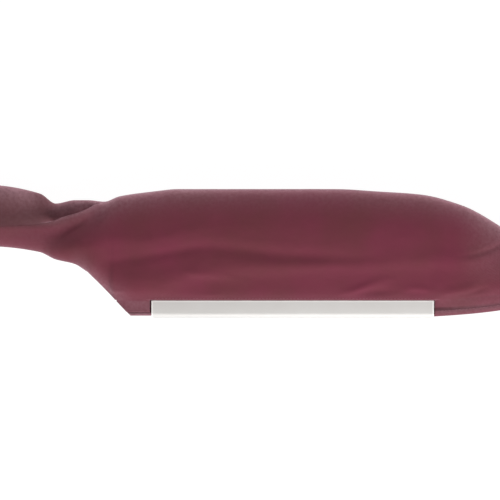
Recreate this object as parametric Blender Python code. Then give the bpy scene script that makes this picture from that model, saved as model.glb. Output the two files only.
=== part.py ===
"""Cloth dust bag of a handheld belt sander, lying on its back panel.

The bag is two cloth panels that narrow to a neck, an elastic cuff on the neck that slips over the dust
spout, and an emptying mouth along the lower edge. Each lip of the mouth is a hem around a bead. A plastic
channel slides over both hems from the left and holds the mouth shut.

Metres, +Z up. X runs along the bag from the neck to the tail, and Y from the mouth to the top edge.
The origin is on the flat underside, below the middle of the fastener rail and of the body's height.
"""

import math
from bisect import bisect_right

import bmesh
import bpy

MM = 0.001

# Clearances and cloth
CLOTH = 0.5 * MM
SEWN_GAP = 0.3 * MM
RUN_GAP = 0.3 * MM

# Fastener rail: a channel with a round spine, whose two jaws close over the hems
RAIL_LENGTH = 212 * MM
RAIL_HEIGHT = 13.6 * MM
RAIL_WALL = 1.0 * MM
RAIL_FLOOR = 1.7 * MM
JAW_HEIGHT = 1.3 * MM
RAIL_EDGE = 0.85 * MM
RAIL_CHAMFER = 0.25 * MM

# Lips of the emptying mouth
BEAD_DIAMETER = 1.3 * MM
LIP_LAP = 3.5 * MM
TAB_LENGTH = 16 * MM
LIP_END_INSET = 3 * MM

# Body
BODY_HEIGHT = 94.5 * MM
BODY_CROWN = 27 * MM
BODY_SEAM_Z = 11 * MM
THROAT_RUN = 31.5 * MM
TAIL_LENGTH = 87 * MM
TAIL_HEIGHT = 25 * MM
TAIL_CROWN = 6 * MM
HEM_RISE = 12.5 * MM
MOUTH_REACH = 20 * MM
MOUTH_PINCH = 0.9
TOP_FULLNESS = 0.3
TAIL_CLOSING = 34 * MM
UNDER_ROUND = 16 * MM

# Soft folds of the front panel, off its plain puffed shape
CREASE_DEPTH = 1.5 * MM
CREASE_SPREAD = 4.5 * MM
SWELL_HEIGHT = 3.7 * MM
SWELL_SPREAD = 9 * MM
HOLLOW_DEPTH = 2.2 * MM
RIDGE_HEIGHT = 2.2 * MM
NECK_FOLD_SPREAD = 7 * MM

# Neck and cuff
NECK_LENGTH = 122 * MM
NECK_SEAM_Z = 11 * MM
THROAT_WIDTH = 53 * MM
THROAT_RISE = 12.5 * MM
TWIST_WIDTH = 41 * MM
TWIST_RISE = 16 * MM
TWIST_AT = 24 * MM
FOLD_RIDGE = 1.5 * MM
FOLD_VALLEY = 5 * MM
FOLD_SPREAD = 5 * MM
CUFF_WIDTH = 46 * MM
CUFF_RISE = 30 * MM
CUFF_CROWN = 26.5 * MM
NECK_CROWN = 23 * MM
CUFF_DEPTH = 15 * MM
ELASTIC_WIDTH = 8 * MM
ELASTIC_THICK = 0.8 * MM

# How finely the curved pieces are faceted
FRONT_STEPS = 20
BACK_STEPS = 12
WELT_STEPS = 12
BEAD_SIDES = 10
STATION_STEP = 11 * MM
FOLD_STEP = 3.5 * MM

# Welt: cloth round a bead
CASING_RADIUS = BEAD_DIAMETER / 2 + SEWN_GAP
WELT_RADIUS = CASING_RADIUS + CLOTH

# Rail section, sized to carry the two welts side by side
SLOT_WIDTH = 2 * CLOTH + SEWN_GAP + 2 * RUN_GAP
CAVITY_WIDTH = 4 * WELT_RADIUS + SEWN_GAP + 2 * RUN_GAP
RAIL_THICK = CAVITY_WIDTH + 2 * RAIL_WALL
MID_Z = RAIL_THICK / 2

# Lines across the bag, in Y
TOP_Y = BODY_HEIGHT / 2
HEM_Y = -BODY_HEIGHT / 2
RAIL_BOTTOM_Y = HEM_Y - RUN_GAP - RAIL_FLOOR
RAIL_TOP_Y = RAIL_BOTTOM_Y + RAIL_HEIGHT
PANEL_Y = RAIL_TOP_Y + RUN_GAP
LIP_DEPTH = PANEL_Y - HEM_Y

# Places along the bag, in X
RAIL_LEFT_X = -RAIL_LENGTH / 2
RAIL_RIGHT_X = RAIL_LENGTH / 2
TAB_X = RAIL_LEFT_X - TAB_LENGTH
JUNCTION_X = TAB_X - THROAT_RUN
CUFF_X = JUNCTION_X - NECK_LENGTH
TAIL_X = RAIL_RIGHT_X + TAIL_LENGTH

# Cuff: a folded band whose two legs hold the elastic and the ends of the panels
CUFF_GAP = (ELASTIC_THICK + 2 * SEWN_GAP - CLOTH) / 2
NECK_INSET = CLOTH + CUFF_GAP
CUFF_INNER = 2 * CLOTH + ELASTIC_THICK + 2 * SEWN_GAP


def clear_scene():
    for old in list(bpy.data.objects):
        bpy.data.objects.remove(old)


def make_material(name, colour, roughness):
    """A Principled material. colour is linear RGB."""
    material = bpy.data.materials.new(name)
    material.use_nodes = True
    shader = material.node_tree.nodes["Principled BSDF"]
    shader.inputs["Base Color"].default_value = (*colour, 1.0)
    shader.inputs["Roughness"].default_value = roughness
    shader.inputs["Metallic"].default_value = 0.0
    return material


def smooth_curve(keys):
    """A function through (x, value) keys that never overshoots them."""
    xs = [key[0] for key in keys]
    ys = [key[1] for key in keys]
    slopes = [(ys[i + 1] - ys[i]) / (xs[i + 1] - xs[i]) for i in range(len(xs) - 1)]
    tangents = [slopes[0]]
    for before, after in zip(slopes, slopes[1:]):
        tangents.append(2 * before * after / (before + after) if before * after > 0 else 0.0)
    tangents.append(slopes[-1])

    def value(x):
        if x <= xs[0]:
            return ys[0]
        if x >= xs[-1]:
            return ys[-1]
        i = bisect_right(xs, x) - 1
        span = xs[i + 1] - xs[i]
        t = (x - xs[i]) / span
        return (
            (1 + 2 * t) * (1 - t) ** 2 * ys[i]
            + t * (1 - t) ** 2 * span * tangents[i]
            + t * t * (3 - 2 * t) * ys[i + 1]
            + t * t * (t - 1) * span * tangents[i + 1]
        )

    return value


def ease(x, start, end):
    """0 before start, 1 after end, and smooth between."""
    t = min(1.0, max(0.0, (x - start) / (end - start)))
    return t * t * (3 - 2 * t)


# Outline of the bag seen from above

NECK_KEYS = (
    # distance from the junction, height of the neck's middle above the body's, width
    (NECK_LENGTH, CUFF_RISE, CUFF_WIDTH),
    (NECK_LENGTH * 0.54, CUFF_RISE - 2.5 * MM, CUFF_WIDTH - 1 * MM),
    (TWIST_AT + 12 * MM, TWIST_RISE + 6.5 * MM, TWIST_WIDTH + 2 * MM),
    (TWIST_AT, TWIST_RISE, TWIST_WIDTH),
    (TWIST_AT * 0.4, THROAT_RISE + 3 * MM, THROAT_WIDTH - 6 * MM),
    (0.0, THROAT_RISE, THROAT_WIDTH),
)
SHOULDER_KEYS = (
    # place along X, drop of the top edge below its straight stretch
    (TAB_X - 19 * MM, 9.4 * MM),
    (TAB_X - 7.5 * MM, 5.4 * MM),
    (RAIL_LEFT_X, 2 * MM),
    (RAIL_LEFT_X + 21 * MM, 0.0),
    (RAIL_RIGHT_X - 74 * MM, 0.0),
    (RAIL_RIGHT_X - 44 * MM, 1.7 * MM),
    (RAIL_RIGHT_X - 11 * MM, 4 * MM),
    (RAIL_RIGHT_X + 20 * MM, 12 * MM),
    (RAIL_RIGHT_X + 49 * MM, 27.5 * MM),
    (TAIL_X, BODY_HEIGHT - HEM_RISE - TAIL_HEIGHT),
)

top_edge = smooth_curve(
    [(JUNCTION_X - away, rise + width / 2) for away, rise, width in NECK_KEYS]
    + [(x, TOP_Y - drop) for x, drop in SHOULDER_KEYS]
)
neck_bottom = smooth_curve([(JUNCTION_X - away, rise - width / 2) for away, rise, width in NECK_KEYS])
hem_rise = smooth_curve(
    [
        (RAIL_RIGHT_X, 0.0),
        (RAIL_RIGHT_X + TAIL_LENGTH * 0.25, 1.5 * MM),
        (RAIL_RIGHT_X + TAIL_LENGTH * 0.55, 4.3 * MM),
        (TAIL_X, HEM_RISE),
    ]
)
THROAT_Y = THROAT_RISE - THROAT_WIDTH / 2
THROAT_SLOPE = (HEM_Y - THROAT_Y) / (TAB_X - JUNCTION_X)
CORNER_X = JUNCTION_X + (PANEL_Y - THROAT_Y) / THROAT_SLOPE


def throat_x(y):
    """X of the slanted seam between neck and mouth at height y."""
    return JUNCTION_X + (y - THROAT_Y) / THROAT_SLOPE


def bottom_edge(x):
    """Lower edge of the panels: the neck's, then the throat's slant, then the line above the lips."""
    if x <= JUNCTION_X:
        return neck_bottom(x)
    if x <= CORNER_X:
        return THROAT_Y + (x - JUNCTION_X) * THROAT_SLOPE
    return PANEL_Y + hem_rise(x)


# Heights of the bag above the table

crown = smooth_curve(
    [
        (CUFF_X, CUFF_CROWN),
        (JUNCTION_X - NECK_LENGTH * 0.54, NECK_CROWN + 1 * MM),
        (JUNCTION_X - TWIST_AT, NECK_CROWN - 2 * MM),
        (JUNCTION_X, NECK_CROWN),
        (RAIL_LEFT_X, BODY_CROWN - 1 * MM),
        (0.0, BODY_CROWN),
        (RAIL_RIGHT_X, BODY_CROWN - 1.5 * MM),
        (RAIL_RIGHT_X + TAIL_LENGTH * 0.55, TAIL_CROWN + 13 * MM),
        (TAIL_X, TAIL_CROWN),
    ]
)
TAIL_SEAM_Z = 2 * WELT_RADIUS + SEWN_GAP / 2
top_seam_z = smooth_curve(
    [
        (JUNCTION_X, NECK_SEAM_Z),
        (RAIL_LEFT_X, BODY_SEAM_Z),
        (RAIL_RIGHT_X, BODY_SEAM_Z),
        (TAIL_X, TAIL_SEAM_Z),
    ]
)
lip_mid_z = smooth_curve([(RAIL_RIGHT_X + RUN_GAP, MID_Z), (TAIL_X, TAIL_SEAM_Z)])


# Fold across the neck, where it is half twisted. It leaves the top edge and runs down to the left.
FOLD_X = TAB_X - 20 * MM
FOLD_LENGTH = 85 * MM
FOLD_Y = top_edge(FOLD_X)
fold_line = smooth_curve(
    [
        (FOLD_X - FOLD_LENGTH, FOLD_Y - 18 * MM),
        (FOLD_X - FOLD_LENGTH / 2, FOLD_Y - 16 * MM),
        (FOLD_X - FOLD_LENGTH * 0.2, FOLD_Y - 8 * MM),
        (FOLD_X, FOLD_Y),
    ]
)


def fold_height(x, y):
    """What the fold adds to the front panel's height: a ridge, and a valley on the far side of it."""
    share = ease(x, FOLD_X - FOLD_LENGTH, FOLD_X - FOLD_LENGTH / 3) * (1 - ease(x, FOLD_X - 14 * MM, FOLD_X))
    beyond = (y - fold_line(x)) / FOLD_SPREAD
    ridge = FOLD_RIDGE * math.exp(-((beyond + 0.4) ** 2) * 1.5)
    valley = FOLD_VALLEY * math.exp(-((beyond - 1) ** 2))
    return share * (ridge - valley)


def soft_fold(height, spread, keys):
    """A fold along a line through keys of (place along X, place along Y, share of its full height)."""
    line = smooth_curve([(x, y) for x, y, _ in keys])
    strength = smooth_curve([(x, share) for x, _, share in keys])

    def value(x, y):
        return height * strength(x) * math.exp(-(((y - line(x)) / spread) ** 2))

    return value


neck_hollow = soft_fold(
    -HOLLOW_DEPTH,
    NECK_FOLD_SPREAD,
    [
        (JUNCTION_X - 36 * MM, THROAT_RISE - 4.5 * MM, 0.0),
        (JUNCTION_X - 19 * MM, THROAT_RISE + 2.5 * MM, 0.9),
        (JUNCTION_X - 6.5 * MM, THROAT_RISE + 8.5 * MM, 1.0),
        (JUNCTION_X + 3.5 * MM, THROAT_RISE + 14.5 * MM, 0.75),
        (JUNCTION_X + 13.5 * MM, THROAT_RISE + 21.5 * MM, 0.0),
    ],
)
neck_ridge = soft_fold(
    RIDGE_HEIGHT,
    NECK_FOLD_SPREAD,
    [
        (JUNCTION_X - 32 * MM, THROAT_RISE - 13.5 * MM, 0.0),
        (JUNCTION_X - 6.5 * MM, THROAT_RISE - 7.5 * MM, 1.0),
        (TAB_X - 14 * MM, 10 * MM, 0.55),
        (RAIL_LEFT_X + RAIL_LENGTH * 0.06, 11.5 * MM, 0.35),
        (RAIL_LEFT_X + RAIL_LENGTH * 0.3, 23 * MM, 0.0),
    ],
)
long_crease = soft_fold(
    -CREASE_DEPTH,
    CREASE_SPREAD,
    [
        (JUNCTION_X + 4 * MM, -7 * MM, 0.0),
        (RAIL_LEFT_X + RAIL_LENGTH * 0.03, -1 * MM, 0.75),
        (RAIL_LEFT_X + RAIL_LENGTH * 0.21, 4.3 * MM, 0.95),
        (RAIL_LEFT_X + RAIL_LENGTH * 0.44, -1 * MM, 0.8),
        (RAIL_LEFT_X + RAIL_LENGTH * 0.7, -4.5 * MM, 0.6),
        (RAIL_LEFT_X + RAIL_LENGTH * 0.9, -3 * MM, 0.0),
    ],
)
long_swell = soft_fold(
    SWELL_HEIGHT,
    SWELL_SPREAD,
    [
        (JUNCTION_X + 3.5 * MM, -20 * MM, 0.0),
        (TAB_X - 10 * MM, -21 * MM, 0.65),
        (RAIL_LEFT_X, -21 * MM, 1.0),
        (RAIL_LEFT_X + RAIL_LENGTH * 0.14, -14 * MM, 0.65),
        (RAIL_LEFT_X + RAIL_LENGTH * 0.3, -10.5 * MM, 0.45),
        (RAIL_LEFT_X + RAIL_LENGTH * 0.7, -7.6 * MM, 0.3),
        (RAIL_RIGHT_X + 26 * MM, -4.5 * MM, 0.3),
        (RAIL_RIGHT_X + 46 * MM, 0.0, 0.0),
    ],
)
SOFT_FOLDS = (neck_hollow, neck_ridge, long_crease, long_swell)


def mouth_share(x):
    """0 on the round neck, 1 where the panels lie flat on the lips."""
    return ease(x, JUNCTION_X, CORNER_X)


def low_seam_z(x):
    """Height of the seam, or of the plane between the lips, at the lower edge."""
    share = mouth_share(x)
    return NECK_SEAM_Z * (1 - share) + lip_mid_z(x) * share


def tail_share(x):
    """0 along the body, 1 at the tail's end, where the panels are sewn flat together."""
    return ease(x, TAIL_X - TAIL_CLOSING, TAIL_X)


def panel_stand_off(x):
    """Distance of a panel's outer face from that plane, at its lower edge."""
    return SEWN_GAP / 2 + mouth_share(x) * (2 * CLOTH + SEWN_GAP)


def front_profile(x):
    """(y, z) points of the front panel's outer face at x, from the top seam over the crown."""
    top, bottom, share = top_edge(x), bottom_edge(x), mouth_share(x)
    start = top_seam_z(x) + SEWN_GAP / 2 + tail_share(x) * CLOTH
    end = low_seam_z(x) + panel_stand_off(x)
    by_top, by_mouth = 1 - TOP_FULLNESS * share, 1 + MOUTH_PINCH * share
    at_peak = by_top / (by_top + by_mouth)
    peak = at_peak ** (by_top / 2) * (1 - at_peak) ** (by_mouth / 2)
    rise = (crown(x) - start * (1 - at_peak) - end * at_peak) / peak * (1 - tail_share(x))
    points = []
    for i in range(FRONT_STEPS + 1):
        a = math.pi * i / FRONT_STEPS
        along = (1 - math.cos(a)) / 2
        bulge = math.sin(a / 2) ** by_top * max(math.cos(a / 2), 0.0) ** by_mouth
        y = top + (bottom - top) * along
        folds = fold_height(x, y) * math.sin(a)
        folds += sum(fold(x, y) for fold in SOFT_FOLDS) * ease(math.sin(a), 0.0, 0.7)
        points.append((y, start + (end - start) * along + rise * bulge + folds))
    return points


def back_profile(x):
    """(y, z) points of the back panel's outer face at x, from the top seam along the table."""
    top, bottom, share = top_edge(x), bottom_edge(x), mouth_share(x)
    start = top_seam_z(x) - SEWN_GAP / 2 - tail_share(x) * CLOTH
    end = low_seam_z(x) - panel_stand_off(x)
    reach = min(UNDER_ROUND, (top - bottom) / 2)
    slope = min(MOUTH_REACH, (top - bottom) / 2)
    points = []
    for i in range(BACK_STEPS + 1):
        a = math.pi * i / BACK_STEPS
        y = top + (bottom - top) * (1 - math.cos(a)) / 2
        near_top = min(1.0, max(0.0, 1 - (top - y) / reach))
        near_low = min(1.0, max(0.0, 1 - (y - bottom) / reach))
        round_top = 1 - math.sqrt(1 - near_top**2)
        round_low = 1 - math.sqrt(1 - near_low**2)
        flat_low = 1 - ease(y - bottom, 0.0, slope)
        z = start * round_top + end * ((1 - share) * round_low + share * flat_low)
        sewn = start + (end - start) * (top - y) / (top - bottom)
        points.append((y, z + (sewn - z) * tail_share(x)))
    return points


def outward(points, side, flat_top, flat_low):
    """Outward unit normals along a profile. side is 1 for the front and -1 for the back.

    flat_top and flat_low are 0 where that end of the profile meets a butt seam and 1 where it lies flat.
    """
    normals = []
    for i in range(len(points)):
        before, after = points[max(i - 1, 0)], points[min(i + 1, len(points) - 1)]
        dy, dz = after[0] - before[0], after[1] - before[1]
        length = math.hypot(dy, dz)
        normals.append((side * dz / length, -side * dy / length))
    for i, away, flat in ((0, 1, flat_top), (-1, -1, flat_low)):
        length = math.hypot(1 - flat, flat)
        normals[i] = (away * (1 - flat) / length, side * flat / length)
    return normals


def inset(points, normals, depth):
    return [(y - depth * ny, z - depth * nz) for (y, z), (ny, nz) in zip(points, normals)]


def panel_loop(x, profile, side):
    """Closed (x, y, z) loop round a panel's thickness at x. It draws in where the cuff covers it."""
    share = mouth_share(x)
    face = profile(x)
    normals = outward(face, side, tail_share(x), share)
    depth = NECK_INSET * (1 - ease(x, CUFF_X + CUFF_DEPTH, CUFF_X + 2 * CUFF_DEPTH))
    outer = inset(face, normals, depth)
    inner = inset(face, normals, depth + CLOTH)
    return [(x, y, z) for y, z in outer + inner[::-1]]


def neck_section(x, depth):
    """Closed (y, z) section of the neck at x, depth inside its outer face."""
    front, back = front_profile(x), back_profile(x)
    front = inset(front, outward(front, 1, 0, 0), depth)
    back = inset(back, outward(back, -1, 0, 0), depth)
    return front + back[::-1]


# Mesh building


def add_object(name, mesh, material, parent):
    mesh.materials.append(material)
    mesh.shade_smooth()
    mesh.set_sharp_from_angle(angle=math.radians(35))
    made = bpy.data.objects.new(name, mesh)
    bpy.context.scene.collection.objects.link(made)
    made.parent = parent
    return made


def skin(name, loops, material, parent, ring=False):
    """A closed solid over equal loops of points. A ring joins its ends, and otherwise both are capped."""
    bm = bmesh.new()
    rows = [[bm.verts.new(point) for point in loop] for loop in loops]
    pairs = list(zip(rows, rows[1:]))
    if ring:
        pairs.append((rows[-1], rows[0]))
    else:
        bm.faces.new(rows[0])
        bm.faces.new(rows[-1])
    count = len(rows[0])
    for here, there in pairs:
        for i in range(count):
            j = (i + 1) % count
            bm.faces.new((here[i], here[j], there[j], there[i]))
    bmesh.ops.recalc_face_normals(bm, faces=bm.faces)
    mesh = bpy.data.meshes.new(name)
    bm.to_mesh(mesh)
    bm.free()
    return add_object(name, mesh, material, parent)


def places(start, end, step, marks=()):
    """X values from start to end, no further apart than step, with one at each mark."""
    stops = [start] + sorted(mark for mark in marks if start < mark < end) + [end]
    found = [start]
    for low, high in zip(stops, stops[1:]):
        steps = math.ceil((high - low) / step)
        found += [low + (high - low) * i / steps for i in range(1, steps + 1)]
    return found


def arc(centre, radius, start, end, steps):
    """(y, z) points on a circle. Angles are in degrees, from +Y towards +Z."""
    points = []
    for i in range(steps + 1):
        a = math.radians(start + (end - start) * i / steps)
        points.append((centre[0] + radius * math.cos(a), centre[1] + radius * math.sin(a)))
    return points


def thicken(path, thickness):
    """Closed outline of a strip of that thickness along an open (y, z) path."""
    left, right = [], []
    for i, (y, z) in enumerate(path):
        before, after = path[max(i - 1, 0)], path[min(i + 1, len(path) - 1)]
        dy, dz = after[0] - before[0], after[1] - before[1]
        scale = thickness / 2 / math.hypot(dy, dz)
        left.append((y - dz * scale, z + dy * scale))
        right.append((y + dz * scale, z - dy * scale))
    return left + right[::-1]


# Sub-parts


def make_panels(cloth, bag):
    start = CUFF_X + CLOTH + ELASTIC_WIDTH + 3 * SEWN_GAP
    marks = (CUFF_X + CUFF_DEPTH, CUFF_X + 2 * CUFF_DEPTH, JUNCTION_X, CORNER_X)
    marks += (TAB_X, RAIL_LEFT_X, RAIL_RIGHT_X, TAIL_X - TAIL_CLOSING)
    back = places(start, TAIL_X, STATION_STEP, marks)
    front = places(start, FOLD_X - FOLD_LENGTH, STATION_STEP, marks)
    front += places(FOLD_X - FOLD_LENGTH, FOLD_X, FOLD_STEP, marks)[1:]
    front += places(FOLD_X, TAIL_X, STATION_STEP, marks)[1:]
    skin("front_panel", [panel_loop(x, front_profile, 1) for x in front], cloth, bag)
    skin("back_panel", [panel_loop(x, back_profile, -1) for x in back], cloth, bag)


def make_cuff(cloth, elastic, bag):
    """The folded cuff band round the panels' ends, and the elastic in its fold."""
    leg_end = CUFF_X + CUFF_DEPTH
    fold = CUFF_X + CLOTH
    band = [
        (CUFF_X, 0.0),
        (leg_end, 0.0),
        (leg_end, CLOTH),
        (fold, CLOTH),
        (fold, CUFF_INNER - CLOTH),
        (leg_end, CUFF_INNER - CLOTH),
        (leg_end, CUFF_INNER),
        (CUFF_X, CUFF_INNER),
    ]
    skin("cuff_band", swept_round(band), cloth, bag, ring=True)

    low, high = CLOTH + SEWN_GAP, CLOTH + SEWN_GAP + ELASTIC_THICK
    near, far = fold + SEWN_GAP, fold + SEWN_GAP + ELASTIC_WIDTH
    strip = [(near, low), (far, low), (far, high), (near, high)]
    skin("cuff_elastic", swept_round(strip), elastic, bag, ring=True)


def swept_round(profile):
    """An (x, depth) profile carried round the neck, as one loop for each point of the neck's section."""
    sections = [neck_section(x, depth) for x, depth in profile]
    return [
        [(x, *section[i]) for (x, _), section in zip(profile, sections)]
        for i in range(len(sections[0]))
    ]


def lip_outline(x, side):
    """(y, z) outline of a lip at x: a web, and a hem round the bead on its outer side."""
    hem = HEM_Y + hem_rise(x)
    inner_face = lip_mid_z(x) + side * SEWN_GAP / 2
    web_z = inner_face + side * CLOTH / 2
    web_top = hem + LIP_DEPTH + LIP_LAP
    centre = (hem + WELT_RADIUS, inner_face + side * WELT_RADIUS)
    hook = arc(centre, WELT_RADIUS - CLOTH / 2, -90 * side, -385 * side, WELT_STEPS)
    return thicken([(web_top, web_z), (centre[0] + WELT_RADIUS, web_z)] + hook, CLOTH)


def bead_outline(x, side):
    hem = HEM_Y + hem_rise(x)
    centre = (hem + WELT_RADIUS, lip_mid_z(x) + side * (SEWN_GAP / 2 + WELT_RADIUS))
    return arc(centre, BEAD_DIAMETER / 2, 0, 360 - 360 / BEAD_SIDES, BEAD_SIDES - 1)


def make_lips(cloth, cord, bag):
    """Both lips and their beads: straight wherever the rail runs, with left ends that follow the throat."""
    xs = places(TAB_X, TAIL_X, STATION_STEP, (RAIL_LEFT_X, RAIL_RIGHT_X))
    for name, side in (("front", 1), ("back", -1)):
        for piece, outline, material in (("lip", lip_outline, cloth), ("bead", bead_outline, cord)):
            loops = [[(throat_x(y) + LIP_END_INSET, y, z) for y, z in outline(xs[0], side)]]
            loops += [[(x, y, z) for y, z in outline(x, side)] for x in xs if x > TAB_X + LIP_END_INSET]
            skin(f"{name}_{piece}", loops, material, bag)


def rail_outline(shrink):
    """(y, z) outline of the channel, drawn in by shrink on its outer faces."""
    half, spine = RAIL_THICK / 2 - shrink, RAIL_THICK / 2
    spine_centre = (RAIL_BOTTOM_Y + spine, MID_Z)
    top, edge = RAIL_TOP_Y - shrink, RAIL_EDGE - shrink
    welt_z = WELT_RADIUS + SEWN_GAP / 2
    corner = WELT_RADIUS + RUN_GAP
    corner_y = HEM_Y + WELT_RADIUS
    jaw = HEM_Y + 2 * WELT_RADIUS + RUN_GAP
    jaw_top = jaw + JAW_HEIGHT
    slot = SLOT_WIDTH / 2
    wall = CAVITY_WIDTH / 2
    return (
        [(top, MID_Z + wall)]
        + arc((top - edge, MID_Z + half - edge), edge, 0, 90, 3)
        + arc(spine_centre, half, 90, 270, 14)
        + arc((top - edge, MID_Z - half + edge), edge, -90, 0, 3)
        + [(top, MID_Z - wall), (jaw_top, MID_Z - wall), (jaw_top, MID_Z - slot)]
        + [(jaw, MID_Z - slot), (jaw, MID_Z - wall)]
        + arc((corner_y, MID_Z - welt_z), corner, 270, 180, 4)
        + arc((corner_y, MID_Z + welt_z), corner, 180, 90, 4)
        + [(jaw, MID_Z + wall), (jaw, MID_Z + slot)]
        + [(jaw_top, MID_Z + slot), (jaw_top, MID_Z + wall)]
    )


def make_rail(plastic, fastener):
    ends = (
        (RAIL_LEFT_X, RAIL_CHAMFER),
        (RAIL_LEFT_X + RAIL_CHAMFER, 0.0),
        (RAIL_RIGHT_X - RAIL_CHAMFER, 0.0),
        (RAIL_RIGHT_X, RAIL_CHAMFER),
    )
    loops = [[(x, y, z) for y, z in rail_outline(shrink)] for x, shrink in ends]
    skin("fastener_rail", loops, plastic, fastener)


def add_empty(name):
    made = bpy.data.objects.new(name, None)
    bpy.context.scene.collection.objects.link(made)
    return made


def main():
    clear_scene()
    cloth = make_material("bag_cloth", (0.15, 0.04, 0.058), 0.9)
    cord = make_material("bead_cord", (0.55, 0.5, 0.46), 0.6)
    elastic = make_material("cuff_elastic", (0.03, 0.03, 0.032), 0.8)
    plastic = make_material("rail_plastic", (0.68, 0.66, 0.63), 0.4)
    bag = add_empty("bag")
    fastener = add_empty("fastener")
    make_panels(cloth, bag)
    make_cuff(cloth, elastic, bag)
    make_lips(cloth, cord, bag)
    make_rail(plastic, fastener)


main()
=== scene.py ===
"""Looks of the cloth dust bag: folded cloth, sewn hems and the plastic rail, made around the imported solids.

Metres, in the solids' own frame: X runs from the neck to the tail, Y from the mouth to the top edge, Z up.
"""

import math

import bpy
import numpy as np
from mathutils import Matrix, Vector, noise
from mathutils.bvhtree import BVHTree


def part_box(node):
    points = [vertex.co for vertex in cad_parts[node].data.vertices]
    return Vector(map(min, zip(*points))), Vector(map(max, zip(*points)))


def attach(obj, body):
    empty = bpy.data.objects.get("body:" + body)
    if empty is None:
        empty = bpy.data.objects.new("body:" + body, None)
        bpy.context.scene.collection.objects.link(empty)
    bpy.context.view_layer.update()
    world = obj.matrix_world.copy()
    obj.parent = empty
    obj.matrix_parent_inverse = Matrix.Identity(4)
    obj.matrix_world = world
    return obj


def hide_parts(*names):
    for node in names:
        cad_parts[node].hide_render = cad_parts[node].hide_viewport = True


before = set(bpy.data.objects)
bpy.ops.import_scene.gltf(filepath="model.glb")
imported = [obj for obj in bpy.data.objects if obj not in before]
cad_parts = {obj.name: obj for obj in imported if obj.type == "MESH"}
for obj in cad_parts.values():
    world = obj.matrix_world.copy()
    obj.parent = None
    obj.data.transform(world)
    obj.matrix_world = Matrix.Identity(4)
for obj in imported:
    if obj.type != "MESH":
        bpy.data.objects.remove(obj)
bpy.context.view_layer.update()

MM = 0.001

# Cloth and clearances
CLOTH = 0.5 * MM
SEAM = 0.04 * MM
SEWN_GAP = 0.3 * MM
RUN_GAP = 0.3 * MM

# Rail, placed by its solid
rail_low, rail_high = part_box("fastener_rail")
RAIL_LEFT_X, RAIL_RIGHT_X = rail_low.x, rail_high.x
RAIL_BOTTOM_Y, RAIL_TOP_Y = rail_low.y, rail_high.y
RAIL_THICK = rail_high.z - rail_low.z
MID_Z = (rail_low.z + rail_high.z) / 2
RAIL_WALL = 1.0 * MM
RAIL_EDGE = 0.5 * MM
RAIL_END_ROUND = 0.3 * MM
RAIL_END_STEPS, RAIL_CORNER_STEPS, RAIL_SPINE_STEPS = 4, 8, 40
RAIL_SHARP_ANGLE = math.radians(40)
JAW_HEIGHT = 1.3 * MM
SLOT_WIDTH = 2 * CLOTH + SEWN_GAP + 2 * RUN_GAP
CAVITY_WIDTH = RAIL_THICK - 2 * RAIL_WALL

# Lips of the mouth: a hem round a bead, and a hem band where no rail runs
BEAD_DIAMETER = 1.3 * MM
WELT_RADIUS = BEAD_DIAMETER / 2 + SEWN_GAP + CLOTH
LIP_LAP = 3.5 * MM
LIP_END_INSET = 3 * MM
TAB_LENGTH = 16 * MM
HEM_BAND = 5.5 * MM
HEM_ROLL = 3.0 * MM
HEM_CLEAR = 0.15 * MM
HEM_ROLL_HEIGHT = 2.5 * MM
HEM_CREASE = 2.7 * MM

# Cloth that falls from the panels to the hems: how hollow and how steep it is, and more so by the rail
HEM_HOLLOW = 0.35
HEM_HOLLOW_REACH = 16 * MM
HEM_FALL = 0.7
HEM_FALL_BY_RAIL = 0.9

# Flap over the tab, and apron right of the rail, which wraps the hem between two angles in degrees
FLAP_LIFT = 1.9 * MM
FLAP_START = 1 * MM
FLAP_TUCK = -0.2 * MM
FLAP_ABOVE_HEM = 1.75 * WELT_RADIUS
APRON_GAP = 0.5 * MM
WRAP_TURN = (72, 215)

# Body
BODY_HEIGHT = 94.5 * MM
BODY_CROWN = 27 * MM
BODY_SEAM_Z = 11 * MM
THROAT_RUN = 31.5 * MM
TAIL_HEIGHT = 25 * MM
TAIL_CROWN = 6 * MM
HEM_RISE = 12.5 * MM
MOUTH_REACH = 20 * MM
MOUTH_PINCH = 0.9
TOP_FULLNESS = 0.3
TAIL_CLOSING = 34 * MM
UNDER_ROUND = 16 * MM

# Neck and cuff
NECK_SEAM_Z = 11 * MM
THROAT_WIDTH = 53 * MM
THROAT_RISE = 12.5 * MM
TWIST_WIDTH = 41 * MM
TWIST_RISE = 16 * MM
TWIST_AT = 24 * MM
CUFF_WIDTH = 46 * MM
CUFF_RISE = 30 * MM
CUFF_CROWN = 26.5 * MM
NECK_CROWN = 23 * MM
CUFF_DEPTH = 15 * MM
CUFF_INNER = 2.4 * MM
NECK_INSET = 0.95 * MM

# Lines across the bag, in Y, and places along it, in X
TOP_Y = BODY_HEIGHT / 2
HEM_Y = -BODY_HEIGHT / 2
PANEL_Y = RAIL_TOP_Y + RUN_GAP
LIP_DEPTH = PANEL_Y - HEM_Y
JAW_TOP_Y = HEM_Y + 2 * WELT_RADIUS + RUN_GAP + JAW_HEIGHT
FLAP_Y = HEM_Y + FLAP_ABOVE_HEM
TAB_X = RAIL_LEFT_X - TAB_LENGTH
JUNCTION_X = TAB_X - THROAT_RUN
CUFF_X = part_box("cuff_band")[0].x
CUFF_END_X = CUFF_X + CUFF_DEPTH
PANEL_START_X, TAIL_X = (corner.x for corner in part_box("front_panel"))
TAIL_LENGTH = TAIL_X - RAIL_RIGHT_X
NECK_LENGTH = JUNCTION_X - CUFF_X
APRON_X = RAIL_RIGHT_X + APRON_GAP

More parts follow.
